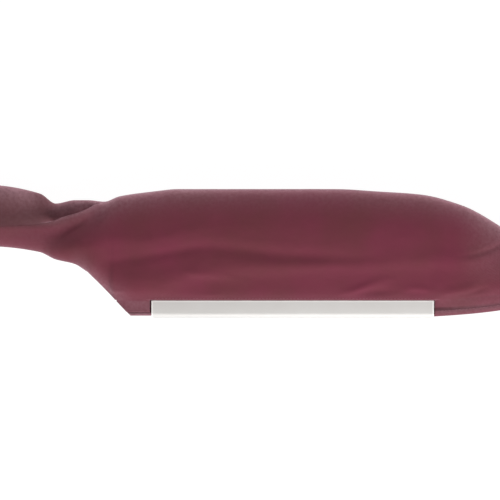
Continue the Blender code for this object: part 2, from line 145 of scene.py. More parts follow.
# Fineness of the meshes, and the row of the front panel that follows the neck's roll
PANEL_STATIONS = 384
STATION_SAMPLES = 10
ROLL_FINENESS = 1.6
ROLL_MIDDLE_X = -163 * MM
ROLL_FINE_REACH = 24 * MM
ROLL_ROW = 0.4
ROLL_ROWS_START = (-262 * MM, -235 * MM)
ROLL_ROWS_END = (-141 * MM, -100 * MM)
FRONT_STEPS = 120
BACK_STEPS = 64
APRON_STEPS = 8
WRAP_STEPS = 14
LIP_STATION_STEP = 1.6 * MM


# Curves


def smooth_curve(keys):
    """A function through (x, value) keys that never overshoots them, for numbers or arrays."""
    xs, ys = np.array(sorted(keys)).T
    slopes = np.diff(ys) / np.diff(xs)
    before, after = slopes[:-1], slopes[1:]
    turning = before * after <= 0
    inner = np.where(turning, 0.0, 2 * before * after / np.where(turning, 1.0, before + after))
    tangents = np.concatenate(([slopes[0]], inner, [slopes[-1]]))

    def value(x):
        x = np.clip(x, xs[0], xs[-1])
        i = np.clip(np.searchsorted(xs, x, side="right") - 1, 0, len(slopes) - 1)
        span = xs[i + 1] - xs[i]
        t = (x - xs[i]) / span
        return (
            (1 + 2 * t) * (1 - t) ** 2 * ys[i]
            + t * (1 - t) ** 2 * span * tangents[i]
            + t * t * (3 - 2 * t) * ys[i + 1]
            + t * t * (t - 1) * span * tangents[i + 1]
        )

    return value


def ease(x, start, end):
    """0 before start, 1 after end, and smooth between."""
    t = np.clip((x - start) / (end - start), 0.0, 1.0)
    return t * t * (3 - 2 * t)


def near(distance, reach):
    """1 at no distance, fading over that reach."""
    return np.exp(-((distance / reach) ** 2))


def soft_noise(u, v, size, seed):
    """Smooth noise from about -1 to 1, with features of that size, at each point of two arrays."""
    u, v = np.broadcast_arrays(u, v)
    values = [noise.noise((a, b, seed)) for a, b in zip((u / size).flat, (v / size).flat)]
    return np.array(values).reshape(u.shape)


# Outline of the bag seen from above

NECK_KEYS = (
    # distance from the junction, height of the neck's middle above the body's, width
    (NECK_LENGTH, CUFF_RISE, CUFF_WIDTH),
    (NECK_LENGTH * 0.54, CUFF_RISE - 2.5 * MM, CUFF_WIDTH - 1 * MM),
    (TWIST_AT + 12 * MM, TWIST_RISE + 6.5 * MM, TWIST_WIDTH + 2 * MM),
    (TWIST_AT, TWIST_RISE, TWIST_WIDTH),
    (TWIST_AT * 0.4, THROAT_RISE + 3 * MM, THROAT_WIDTH - 6 * MM),
    (0.0, THROAT_RISE, THROAT_WIDTH),
)
SHOULDER_KEYS = (
    # place along X, drop of the top edge below its straight stretch
    (TAB_X - 19 * MM, 9.4 * MM),
    (TAB_X - 7.5 * MM, 5.4 * MM),
    (RAIL_LEFT_X, 2 * MM),
    (RAIL_LEFT_X + 21 * MM, 0.0),
    (RAIL_RIGHT_X - 74 * MM, 0.0),
    (RAIL_RIGHT_X - 44 * MM, 1.7 * MM),
    (RAIL_RIGHT_X - 11 * MM, 4 * MM),
    (RAIL_RIGHT_X + 20 * MM, 12 * MM),
    (RAIL_RIGHT_X + 49 * MM, 27.5 * MM),
    (TAIL_X, BODY_HEIGHT - HEM_RISE - TAIL_HEIGHT),
)
top_edge = smooth_curve(
    [(JUNCTION_X - away, rise + width / 2) for away, rise, width in NECK_KEYS]
    + [(x, TOP_Y - drop) for x, drop in SHOULDER_KEYS]
)
neck_bottom = smooth_curve([(JUNCTION_X - away, rise - width / 2) for away, rise, width in NECK_KEYS])
hem_rise = smooth_curve([
    (RAIL_RIGHT_X, 0.0),
    (RAIL_RIGHT_X + TAIL_LENGTH * 0.25, 1.5 * MM),
    (RAIL_RIGHT_X + TAIL_LENGTH * 0.55, 4.3 * MM),
    (TAIL_X, HEM_RISE),
])
THROAT_Y = THROAT_RISE - THROAT_WIDTH / 2
THROAT_SLOPE = (HEM_Y - THROAT_Y) / (TAB_X - JUNCTION_X)


def throat_x(y):
    """X of the slanted seam between neck and mouth, by its Y."""
    return JUNCTION_X + (y - THROAT_Y) / THROAT_SLOPE


def throat_y(x):
    """Y of that seam, by its X."""
    return THROAT_Y + (x - JUNCTION_X) * THROAT_SLOPE


CORNER_X = throat_x(PANEL_Y)


def bottom_edge(x):
    """Lower edge of the panels: the neck's, then the throat's slant, then the line above the lips."""
    past_neck = np.where(x <= CORNER_X, throat_y(x), PANEL_Y + hem_rise(x))
    return np.where(x <= JUNCTION_X, neck_bottom(x), past_neck)


# Heights of the bag above the table

crown = smooth_curve([
    (CUFF_X, CUFF_CROWN),
    (JUNCTION_X - NECK_LENGTH * 0.54, NECK_CROWN + 1 * MM),
    (JUNCTION_X - TWIST_AT, NECK_CROWN - 2 * MM),
    (JUNCTION_X, NECK_CROWN),
    (RAIL_LEFT_X, BODY_CROWN - 1 * MM),
    (0.0, BODY_CROWN),
    (RAIL_RIGHT_X, BODY_CROWN - 1.5 * MM),
    (RAIL_RIGHT_X + TAIL_LENGTH * 0.55, TAIL_CROWN + 13 * MM),
    (TAIL_X, TAIL_CROWN),
])
TAIL_SEAM_Z = 2 * WELT_RADIUS + SEWN_GAP / 2
plain_seam_z = smooth_curve([
    (JUNCTION_X, NECK_SEAM_Z),
    (RAIL_LEFT_X, BODY_SEAM_Z),
    (RAIL_RIGHT_X, BODY_SEAM_Z),
    (TAIL_X, TAIL_SEAM_Z),
])
lip_mid_z = smooth_curve([(RAIL_RIGHT_X + RUN_GAP, MID_Z), (TAIL_X, TAIL_SEAM_Z)])
SEAM_PUCKER = 0.5 * MM
SEAM_PUCKER_SIZE = 11 * MM


def mouth_share(x):
    """0 on the round neck, 1 where the panels lie flat on the lips."""
    return ease(x, JUNCTION_X, CORNER_X)


def tail_share(x):
    """0 along the body, 1 at the tail's end, where the panels are sewn flat together."""
    return ease(x, TAIL_X - TAIL_CLOSING, TAIL_X)


def pucker(x, seed):
    """How far the sewing pulls a seam up or down, at each place along it."""
    away = ease(x, CUFF_END_X, CUFF_X + 3 * CUFF_DEPTH) * (1 - tail_share(x))
    return SEAM_PUCKER * away * soft_noise(x, 0.0 * x, SEAM_PUCKER_SIZE, seed)


def top_seam_z(x):
    return plain_seam_z(x) + pucker(x, 3.5)


def low_seam_z(x):
    """Height of the seam, or of the plane between the lips, at the lower edge."""
    share = mouth_share(x)
    return (NECK_SEAM_Z + pucker(x, 7.5)) * (1 - share) + lip_mid_z(x) * share


OPENING_RUN = 5 * MM
TAB_RUN = 9 * MM
LIP_FACE = SEWN_GAP / 2 + CLOTH
PANEL_FACE = LIP_FACE + CLOTH + 2 * SEAM


def open_share(x):
    """0 where the panels are sewn together along their lower edges, 1 where the lips part them."""
    return ease(x, CORNER_X - OPENING_RUN, CORNER_X)


def tab_share(x):
    """0 along the slanted seam, 1 on the tab, where the cloth lies higher than the lips."""
    return ease(x, CORNER_X - OPENING_RUN, CORNER_X + TAB_RUN)


def stand_off(x):
    """Distance of a panel's outer face from that plane, at its lower edge."""
    return SEAM + open_share(x) * (PANEL_FACE - SEAM)


def front_face(x, a):
    """(y, z) of the front panel's outer face. a runs from 0 at the top seam to pi at the lower edge."""
    top, bottom, closed = top_edge(x), bottom_edge(x), tail_share(x)
    start = top_seam_z(x) + SEAM + closed * CLOTH
    end = low_seam_z(x) + stand_off(x)
    by_top, by_mouth = 1 - TOP_FULLNESS * mouth_share(x), 1 + MOUTH_PINCH * mouth_share(x)
    at_peak = by_top / (by_top + by_mouth)
    peak = at_peak ** (by_top / 2) * (1 - at_peak) ** (by_mouth / 2)
    rise = (crown(x) - start * (1 - at_peak) - end * at_peak) / peak * (1 - closed)
    along = (1 - np.cos(a)) / 2
    bulge = np.sin(a / 2) ** by_top * np.maximum(np.cos(a / 2), 0.0) ** by_mouth
    return top + (bottom - top) * along, start + (end - start) * along + rise * bulge


def back_face(x, a):
    """(y, z) of the back panel's outer face, from the top seam along the table to the lower edge."""
    top, bottom, share = top_edge(x), bottom_edge(x), mouth_share(x)
    start = top_seam_z(x) - SEAM - tail_share(x) * CLOTH
    end = low_seam_z(x) - stand_off(x)
    half = (top - bottom) / 2
    reach, slope = np.minimum(UNDER_ROUND, half), np.minimum(MOUTH_REACH, half)
    along = (1 - np.cos(a)) / 2
    y = top + (bottom - top) * along
    near_top = np.clip(1 - (top - y) / reach, 0.0, 1.0)
    near_low = np.clip(1 - (y - bottom) / reach, 0.0, 1.0)
    round_top = 1 - np.sqrt(1 - near_top**2)
    round_low = 1 - np.sqrt(1 - near_low**2)
    flat_low = 1 - ease(y - bottom, 0.0, slope)
    z = start * round_top + end * ((1 - share) * round_low + share * flat_low)
    sewn = start + (end - start) * along
    return y, z + (sewn - z) * tail_share(x)


# Folds of the front panel

# The neck is half twisted: its lower half rolls over the upper one along this line, in millimetres
ROLL_KEYS = (
    (-250, 18.5), (-218, 19.6), (-203, 20.3), (-186.7, 21.1), (-180.7, 21.7),
    (-173.3, 24.4), (-158.4, 28.8), (-150.9, 32.1), (-143.4, 36),
)
ROLL_RIDGE = 1.8 * MM
ROLL_RIDGE_SPREAD = 5 * MM
ROLL_DROP = 5.5 * MM
ROLL_SOFT_DROP = 9 * MM
ROLL_EDGE = 0.7 * MM
ROLL_SOFT_EDGE = 8 * MM
ROLL_RECOVERY = 13 * MM
ROLL_SOFT_RECOVERY = 20 * MM
ROLL_OVERHANG = 1.2 * MM
ROLL_BY_CUFF = 0.85
ROLL_BY_SHOULDER = 0.15
ROLL_CREST_BY_CUFF = 0.6

# Stretches along X where the roll rises, fills out, turns sharp and fades
ROLL_RISES = (-262 * MM, -225 * MM)
ROLL_FILLS = (-215 * MM, -185 * MM)
ROLL_SHARPENS = (-192 * MM, -176 * MM)
ROLL_CREST_GROWS = (-180 * MM, -160 * MM)
ROLL_FADES = (-149 * MM, -141 * MM)
roll_line = smooth_curve([(x * MM, y * MM) for x, y in ROLL_KEYS])

# Soft ridges, positive, and valleys, negative: points of (x, y, height, half width), in millimetres
FOLDS = (
    # valley and ridge across the neck, below the roll
    ((-190, 8, 0, 7), (-172.6, 15.1, -2, 7), (-160, 21, -2.2, 7), (-150, 27, -1.6, 6), (-140, 34, 0, 5)),
    ((-186, -1, 0, 7), (-172, 1.5, 1.6, 7), (-160, 5, 2.2, 8), (-147, 8, 1.8, 8), (-136, 10, 1.2, 7),
     (-110, 8.5, 1, 6), (-94, 11.5, 0.8, 5), (-76, 16.5, 0.6, 6), (-43, 23, 0, 6)),
    # the long crease below the middle, and the swell below it
    ((-150, -7, 0, 4), (-132, -6, -0.7, 4), (-113, -3.2, -0.9, 4), (-99, -1, -1.1, 4), (-76, 3.2, -1.4, 4.5),
     (-61, 4.3, -1.4, 5), (-43, 2.5, -1.3, 5), (-13, -1, -1.2, 5), (43, -4.5, -0.9, 4.5), (84, -3, 0, 4.5)),
    ((-150, -20, 0, 8), (-132, -21, 2.4, 10), (-113, -21, 3.7, 11), (-99, -20.5, 3.6, 11), (-76, -14, 2.4, 9),
     (-58, -11.5, 2, 7.5), (-43, -10.5, 1.7, 7), (6, -9.5, 1.4, 5.5), (43, -7.6, 1.2, 6),
     (80, -6.5, 1.1, 6.5), (110, -5.5, 1.3, 7), (132, -4.5, 1.2, 7), (152, 0, 0, 5)),
    # streaks beside the tail
    ((118, -3.2, 0, 2.5), (137, -0.8, -0.6, 2), (147, 2.2, -0.9, 2), (155, 6.4, -0.9, 2), (172, 13, 0, 2)),
    ((150, -25, 0, 2.5), (140, -28.8, -1, 2.5), (131, -32.5, -0.9, 2.5), (122, -37, 0, 2.5)),
    ((106, -36, 0, 4), (118, -30.5, 1.3, 4.5), (128, -28, 1, 4), (142, -22, 0, 4)),
    # small folds above the rail
    ((-86, -13, 0, 3), (-72, -14.5, 0.6, 3), (-50, -17, 0.5, 3.5), (-30, -22, 0, 3.5)),
    ((-80, -33, 0, 3), (-60, -33, 0.7, 3), (-46, -33, 0, 3)),
    ((30, -34, 0, 3), (49, -27, 1.2, 3), (64, -21.5, 0.7, 3.5), (82, -18, 0, 3.5)),
    ((46, -34, 0, 4), (62, -30, -1.3, 4), (84, -29, 0, 4)),
    ((80, -31, 0, 3.5), (92, -31.5, -0.8, 3.5), (104, -31, 0, 3.5)),
    ((80, -27, 0, 3), (95, -27, 0.7, 3), (112, -30, 0, 3)),
    # pulls beside the slanted seam
    ((-140, -27, 0, 2), (-133, -28, 0.5, 2), (-120, -29, 0, 2)),
    ((-131, -33, 0, 2), (-125, -34, 0.5, 2), (-112, -34, 0, 2)),
)

# Small wrinkles: height, size and the noise's seed
WRINKLES = ((0.25 * MM, 15 * MM, 1.5), (0.1 * MM, 5 * MM, 2.5))
EDGE_CALM = 5 * MM

# Fullness of the cloth, which ends by the mouth: where along X, and where between the seams
PUFF = 0.45 * MM
PUFF_ENDS = (JUNCTION_X - 5 * MM, JUNCTION_X + 10 * MM)
PUFF_END_TURN = (0.5 * math.pi, 0.9 * math.pi)

# Gathers beside the elastic cuff: each sway, over so many pitches, makes them less even
GATHER_PITCH = 3.4 * MM
GATHER_SWAYS = ((1.7, 3.1), (1.0, 7.3))
GATHER_HEIGHT = 0.8 * MM
GATHER_RUN = 26 * MM


def roll_share(x):
    """Strength of the roll along the neck: full by the shoulder, weaker towards the cuff."""
    left = ROLL_BY_CUFF * ease(x, *ROLL_RISES) + ROLL_BY_SHOULDER * ease(x, *ROLL_FILLS)
    return left * (1 - ease(x, *ROLL_FADES))


def roll(x, y):
    """(height, shift along Y) that the roll adds to the front panel."""
    beyond = y - roll_line(x)
    share = roll_share(x)
    sharp = ease(x, *ROLL_SHARPENS)
    edge = ROLL_SOFT_EDGE + (ROLL_EDGE - ROLL_SOFT_EDGE) * sharp
    recovery = ROLL_SOFT_RECOVERY + (ROLL_RECOVERY - ROLL_SOFT_RECOVERY) * sharp
    depth = ROLL_SOFT_DROP + (ROLL_DROP - ROLL_SOFT_DROP) * sharp
    crest = ROLL_RIDGE * (ROLL_CREST_BY_CUFF + (1 - ROLL_CREST_BY_CUFF) * ease(x, *ROLL_CREST_GROWS))
    ridge = crest * near(beyond, ROLL_RIDGE_SPREAD)
    drop = (1 - np.exp(-np.maximum(beyond, 0.0) / edge)) * near(beyond, recovery)
    height = np.where(beyond < 0, ridge, crest * np.exp(-beyond / edge) - depth * drop)
    shift = ROLL_OVERHANG * sharp * near(beyond, 2 * ROLL_EDGE)
    return share * height, share * shift


def fold(x, y, points):
    """Height of one soft ridge or valley. Between its points the height and the width change evenly."""
    nearest, height, width = np.full(x.shape, 1.0), np.zeros(x.shape), np.full(x.shape, MM)
    for start, end in zip(points, points[1:]):
        x0, y0, h0, w0 = np.array(start) * MM
        run_x, run_y, run_h, run_w = np.array(end) * MM - np.array(start) * MM
        t = np.clip(((x - x0) * run_x + (y - y0) * run_y) / (run_x**2 + run_y**2), 0.0, 1.0)
        away = np.hypot(x - x0 - t * run_x, y - y0 - t * run_y)
        nearer = away < nearest
        height = np.where(nearer, h0 + run_h * ease(t, 0.0, 1.0), height)
        width = np.where(nearer, w0 + run_w * t, width)
        nearest = np.minimum(nearest, away)
    return height * near(nearest, width)


# The full bag bulges out over the rail's edge, and lies higher than its lips on both sides of the rail
RAIL_BULGE = 3.2 * MM
RAIL_BULGE_START = 0.6 * MM
RAIL_OVERHANG = 0.9 * MM
RAIL_OVERHANG_AT = 1.0 * MM
MOUTH_LIFT_REACH = 15 * MM
HEM_LIFT_REACH = 22 * MM
MOUTH_LIFT_FADE = 6 * MM
TAB_LIFT = 3.6 * MM
HEM_LIFT = 5.4 * MM


def mouth_lift(x, from_mouth):
    """(shift along Y, lift along Z) of the front panel near its lower edge."""
    past_left = ease(x, RAIL_LEFT_X - MOUTH_LIFT_FADE, RAIL_LEFT_X + MOUTH_LIFT_FADE)
    past_right = ease(x, RAIL_RIGHT_X - MOUTH_LIFT_FADE, RAIL_RIGHT_X + MOUTH_LIFT_FADE)
    by_rail = past_left - past_right
    bulge = RAIL_BULGE * (1 - np.exp(-from_mouth / RAIL_BULGE_START))
    lift = (TAB_LIFT * (1 - past_left) + bulge * by_rail) * near(from_mouth, MOUTH_LIFT_REACH)
    lift = lift + HEM_LIFT * past_right * near(from_mouth, HEM_LIFT_REACH)
    shift = -RAIL_OVERHANG * by_rail * near(from_mouth - RAIL_OVERHANG_AT, RAIL_OVERHANG_AT)
    return shift, tab_share(x) * (1 - tail_share(x)) * lift


def gathers(arc):
    """0 to 1: how far the cloth stands out round the cuff, by the distance from the top seam."""
    turn = 2 * math.pi * arc
    phase = turn / GATHER_PITCH
    for sway, pitches in GATHER_SWAYS:
        phase = phase + sway * np.sin(turn / (pitches * GATHER_PITCH))
    return 0.5 + 0.5 * np.sin(phase)


def front_folds(x, y, arc):
    """What moves the front panel off its plain shape: (height off it, the rolled edge's shift along Y, the
    mouth's shift along Y, the mouth's lift along Z)."""
    height, shift = roll(x, y)
    for points in FOLDS:
        height = height + fold(x, y, points)
    for rise, size, seed in WRINKLES:
        height = height + rise * soft_noise(x, arc, size, seed)
    return height, shift, *mouth_lift(x, arc[:, -1:] - arc)


def back_folds(x, y, arc):
    """Wrinkles of the back panel, which only lift it off the table."""
    height = -sum(rise * np.abs(soft_noise(x, arc, size, seed + 10)) for rise, size, seed in WRINKLES)
    return height, 0.0, 0.0, 0.0


# Mesh building


def new_object(name, data):
    """An object in the scene that holds a mesh, a light or a camera."""
    made = bpy.data.objects.new(name, data)
    bpy.context.scene.collection.objects.link(made)
    return made


def add_piece(name, mesh, material, body):
    """A smooth-shaded object from a mesh, which rides on a body and takes the given material."""
    mesh.materials.append(material)
    mesh.shade_smooth()
    made = new_object(name, mesh)
    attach(made, body)
    return made


def sheet_mesh(name, points, uvs, wear_and_painted_light, shown, flip):
    """A mesh over a grid of points, with a face on each cell that shown marks."""
    rows, columns = points.shape[:2]
    index = np.arange(rows * columns).reshape(rows, columns)
    cells = np.stack([index[:-1, :-1], index[:-1, 1:], index[1:, 1:], index[1:, :-1]], axis=-1)[shown]
    if flip:
        cells = cells[:, ::-1]
    used, cells = np.unique(cells, return_inverse=True)
    mesh = bpy.data.meshes.new(name)
    mesh.from_pydata(points.reshape(-1, 3)[used].tolist(), [], cells.reshape(-1, 4).tolist())
    add_uvs(mesh, uvs.reshape(-1, 2)[used])
    add_wear_and_painted_light(mesh, wear_and_painted_light.ravel()[used])
    return mesh


def add_wear_and_painted_light(mesh, wear_and_painted_light):
    """How pale the cloth is painted at each vertex, for the cloth's material: some rubbed nap, mostly painted
    sheen, highlights and light that lifts shade.
    """
    worn_and_lit = mesh.attributes.new("wear_and_painted_light", "FLOAT", "POINT")
    worn_and_lit.data.foreach_set("value", wear_and_painted_light.astype(np.float32))


def add_uvs(mesh, uvs):
    """A UV map, in metres, from one pair for each vertex."""
    corners = np.zeros(len(mesh.loops), np.int32)
    mesh.loops.foreach_get("vertex_index", corners)
    layer = mesh.uv_layers.new(name="cloth")
    layer.data.foreach_set("uv", uvs[corners].astype(np.float32).ravel())


def unit(vectors):
    return vectors / np.linalg.norm(vectors, axis=-1, keepdims=True)


def arc_length(points):
    """Distance along each row of points from the row's first one."""
    steps = np.diff(points, axis=-2, prepend=points[..., :1, :])
    return np.cumsum(np.linalg.norm(steps, axis=-1), axis=-1)


def loft_faces(count, size, ring=False, first=0):
    """Faces over loops of points numbered from first, with end caps unless the loops form a ring."""
    index = first + np.arange(count * size).reshape(count, size)
    here, there = (index, np.roll(index, -1, axis=0)) if ring else (index[:-1], index[1:])
    cells = np.stack([here, np.roll(here, -1, axis=1), np.roll(there, -1, axis=1), there], axis=-1)
    caps = [] if ring else [index[0, ::-1].tolist(), index[-1].tolist()]
    return cells.reshape(-1, 4).tolist() + caps


def loft_mesh(name, loops, ring=False):
    """A mesh over equal loops of points, with UVs along and round it, turned to face out."""
    loops = np.array(loops)
    mesh = bpy.data.meshes.new(name)
    mesh.from_pydata(loops.reshape(-1, 3).tolist(), [], loft_faces(*loops.shape[:2], ring))
    along, around = arc_length(loops[:, 0]), arc_length(loops[0])
    add_uvs(mesh, np.stack(np.broadcast_arrays(along[:, None], around[None, :]), axis=-1).reshape(-1, 2))
    face_outward(mesh)
    return mesh


def face_outward(mesh):
    """Turns the faces of a closed mesh to point out."""
    mesh.update()
    points = np.zeros(len(mesh.vertices) * 3)
    mesh.vertices.foreach_get("co", points)
    points = points.reshape(-1, 3)
    mesh.calc_loop_triangles()
    a, b, c = (points[[t.vertices[i] for t in mesh.loop_triangles]] for i in range(3))
    if np.einsum("ij,ij->i", a, np.cross(b, c)).sum() < 0:
        mesh.flip_normals()


def arc_points(centre, radius, start, end, steps):
    """Points on a circle, as pairs such as (y, z). Angles are in degrees, from +Y towards +Z."""
    angles = np.radians(np.linspace(start, end, steps + 1))
    return [(centre[0] + radius * math.cos(a), centre[1] + radius * math.sin(a)) for a in angles]


def thicken(path, thickness):
    """Closed outline of a strip of that thickness along an open path of pairs."""
    path = np.array(path)
    run = np.gradient(path, axis=0)
    across = unit(np.stack([-run[:, 1], run[:, 0]], axis=1)) * thickness / 2
    return np.concatenate([path + across, (path - across)[::-1]])


# Materials


class Nodes:
    """A node tree with a short way to add nodes to it."""

    def __init__(self, tree):
        self.tree = tree

    def add(self, kind, inputs=None, **settings):
        node = self.tree.nodes.new("ShaderNode" + kind)
        for name, value in settings.items():
            setattr(node, name, value)
        for name, value in (inputs or {}).items():
            self.feed(node, name, value)
        return node

    def feed(self, node, name, value):
        """Links a socket to an input, or sets the input to a number, a vector or a colour."""
        socket = node.inputs[name]
        if isinstance(value, bpy.types.NodeSocket):
            self.tree.links.new(value, socket)
        else:
            socket.default_value = (*value, 1.0) if socket.type == "RGBA" else value

    def out(self, output, kind, inputs=None, **settings):
        return self.add(kind, inputs, **settings).outputs[output]

    def mix(self, share, low, high):
        return self.out(2, "Mix", {0: share, 6: low, 7: high}, data_type="RGBA")

    def math(self, operation, first, second):
        return self.out(0, "Math", {0: first, 1: second}, operation=operation)

    def ranged(self, value, low, high):
        """From low to high as the value goes from 0 to 1."""
        return self.out("Result", "MapRange", {"Value": value, "To Min": low, "To Max": high})

    def step(self, value, start, end):
        """From 0 to 1 as the value goes from start to end."""
        return self.out("Result", "MapRange", {"Value": value, "From Min": start, "From Max": end})

    def bump(self, height, distance, strength=1.0):
        inputs = {"Height": height, "Distance": distance, "Strength": strength}
        return self.out("Normal", "Bump", inputs)

    def noise(self, place, scale, detail=2.0):
        return self.out("Fac", "TexNoise", {"Vector": place, "Scale": scale, "Detail": detail})

    def bands(self, place, pitch, direction):
        """Even bands of a pitch in metres. The wave node's own period is a tenth or a fifth of pi."""
        period = math.pi / 5 / math.sqrt(2) if direction == "DIAGONAL" else math.pi / 10
        inputs = {"Vector": place, "Scale": period / pitch}
        return self.out("Fac", "TexWave", inputs, wave_type="BANDS", bands_direction=direction)


class Shader(Nodes):
    """A Principled material."""

    def __init__(self, name):
        self.material = bpy.data.materials.new(name)
        self.material.use_nodes = True
        super().__init__(self.material.node_tree)
        self.main = self.tree.nodes["Principled BSDF"]

    def set(self, values):
        for name, value in values.items():
            self.feed(self.main, name, value)


TWILL_PITCH = 0.9 * MM
YARN_PITCH = 0.45 * MM

# Painted shade on the neck above its roll, where the roll's shadow falls, in a darker, greyer brown: how
# much, and over which stretches of X and Y it comes in
NECK_PAINTED_SHADE = 0.8
NECK_PAINTED_SHADE_X = (-150 * MM, -190 * MM)
NECK_PAINTED_SHADE_Y = (17 * MM, 22 * MM)

# Scales of the noise, for each metre
FUZZ_SCALE, WEAR_AND_PAINTED_LIGHT_SCALE, PATCH_SCALE = 1500.0, 420.0, 28.0


def cloth_material():
    """Napped twill: colour that wanders between brown and rose, a diagonal weave, painted shade on the neck
    above its roll, and paleness that is mostly painted sheen, highlights and light, with some worn nap.
    """
    brown, rose, worn_and_lit = (0.124, 0.0275, 0.035), (0.162, 0.0245, 0.049), (0.33, 0.17, 0.2)
    painted_shade_brown, shade = (0.1, 0.033, 0.036), (0.05, 0.012, 0.018)
    shader = Shader("bag_cloth_twill")
    place = shader.out("Object", "TexCoord")
    spot = shader.add("SeparateXYZ", {"Vector": place}).outputs
    weave = shader.out("UV", "UVMap", uv_map="cloth")
    twill = shader.bands(weave, TWILL_PITCH, "DIAGONAL")
    yarn = shader.bands(weave, YARN_PITCH, "Y")
    fuzz = shader.noise(place, FUZZ_SCALE)
    patches = shader.noise(place, PATCH_SCALE, 3.0)
    base = shader.mix(shader.ranged(patches, -0.4, 1.4), brown, rose)
    # painted shade: the neck above the roll is painted darker where the roll casts its shadow
    on_neck = shader.math("MULTIPLY", shader.step(spot["X"], *NECK_PAINTED_SHADE_X), NECK_PAINTED_SHADE)
    above_roll = shader.step(spot["Y"], *NECK_PAINTED_SHADE_Y)
    base = shader.mix(shader.math("MULTIPLY", on_neck, above_roll), base, painted_shade_brown)
    lines = shader.mix(shader.ranged(twill, 0.0, 0.14), base, shade)
    # paleness from the vertices: some rubbed nap, mostly painted sheen, highlights and light that lifts shade
    wear_and_painted_light = shader.out("Fac", "Attribute", attribute_name="wear_and_painted_light")
    uneven = shader.math("MULTIPLY", wear_and_painted_light, shader.ranged(shader.noise(place, WEAR_AND_PAINTED_LIGHT_SCALE, 3.0), 0.25, 1.1))
    colour = shader.mix(uneven, lines, worn_and_lit)
    height = shader.math("ADD", shader.math("MULTIPLY", twill, 0.6), shader.math("MULTIPLY", yarn, 0.3))
    height = shader.math("ADD", height, shader.math("MULTIPLY", fuzz, 0.5))
    shader.set({"Base Color": colour, "Roughness": shader.ranged(fuzz, 0.8, 0.98)})
    shader.set({"Normal": shader.bump(height, 0.12 * MM, 0.6), "Specular IOR Level": 0.2})
    shader.set({"Sheen Weight": 0.75, "Sheen Roughness": 0.4, "Sheen Tint": (1.0, 0.7, 0.8)})
    return shader.material


def banded_material(name, pitch, direction, colours, roughness, depth, strength=1.0):
    """Strands laid side by side: each band has its own colour and roughness, and stands out by that depth."""
    shader = Shader(name)
    bands = shader.bands(shader.out("Object", "TexCoord"), pitch, direction)
    dark, pale = colours
    shader.set({"Base Color": shader.mix(bands, dark, pale)})
    shader.set({"Roughness": shader.ranged(bands, *roughness)})
    shader.set({"Normal": shader.bump(bands, depth, strength)})
    return shader.material


def thread_material():
    """Twisted sewing thread, a little paler than the cloth."""
    colours = (0.2, 0.07, 0.09), (0.34, 0.15, 0.18)
    return banded_material("sewing_thread", 0.35 * MM, "DIAGONAL", colours, (0.5, 0.7), 0.05 * MM, 0.5)


def cord_material():
    """Laid cord inside the hems."""
    colours = (0.42, 0.38, 0.34), (0.6, 0.56, 0.51)
    return banded_material("bead_cord_laid", 1.1 * MM, "DIAGONAL", colours, (0.55, 0.75), 0.1 * MM)


def elastic_material():
    """Black knitted elastic with ribs round the cuff."""
    colours = (0.018, 0.018, 0.02), (0.045, 0.045, 0.048)
    return banded_material("cuff_elastic_knit", 1.0 * MM, "X", colours, (0.7, 0.9), 0.15 * MM)


# Rail: how far in from its top edge and ends a highlight is painted, and where it turns darker towards its
# lower edge
RAIL_PAINTED_HIGHLIGHT = 1.5 * MM
RAIL_DARKER_LOW_Y = (RAIL_BOTTOM_Y + 2.6 * MM, RAIL_BOTTOM_Y + 0.8 * MM)


def rail_material():
    """Extruded white plastic: faint lines along its length, a little dust, a painted highlight along its top
    edge and ends, and darker towards its lower edge.
    """
    shader = Shader("rail_plastic_white")
    place = shader.out("Object", "TexCoord")
    spot = shader.add("SeparateXYZ", {"Vector": place}).outputs
    along = shader.out("Vector", "Mapping", {"Vector": place, "Scale": (6.0, 900.0, 900.0)})
    lines = shader.noise(along, 1.0, 2.0)
    dust = shader.noise(place, 60.0, 4.0)
    base = shader.mix(shader.ranged(dust, 0.0, 1.0), (0.69, 0.665, 0.64), (0.76, 0.745, 0.725))
    base = shader.mix(shader.ranged(lines, -0.1, 0.25), base, (0.64, 0.62, 0.595))
    # painted highlight along the top edge and at both ends
    painted_highlight = shader.step(spot["Y"], RAIL_TOP_Y - RAIL_PAINTED_HIGHLIGHT, RAIL_TOP_Y - RAIL_PAINTED_HIGHLIGHT / 2)
    for end, inward in ((RAIL_LEFT_X, RAIL_PAINTED_HIGHLIGHT), (RAIL_RIGHT_X, -RAIL_PAINTED_HIGHLIGHT)):
        painted_highlight = shader.math("MAXIMUM", painted_highlight, shader.step(spot["X"], end + inward, end + inward / 2))
    # darker towards the lower edge
    base = shader.mix(shader.step(spot["Y"], *RAIL_DARKER_LOW_Y), base, (0.61, 0.6, 0.59))
    colour = shader.mix(painted_highlight, base, (0.97, 0.95, 0.92))
    shader.set({"Base Color": colour, "Roughness": shader.ranged(dust, 0.3, 0.46), "Specular IOR Level": 0.3})
    shader.set({"Normal": shader.bump(lines, 0.03 * MM, 0.5)})
    return shader.material


# Pieces


def grid_normals(points, side):
    """Outward unit normals of a grid of points."""
    along_x, along_a = np.gradient(points, axis=0), np.gradient(points, axis=1)
    return unit(side * np.cross(along_a, along_x))


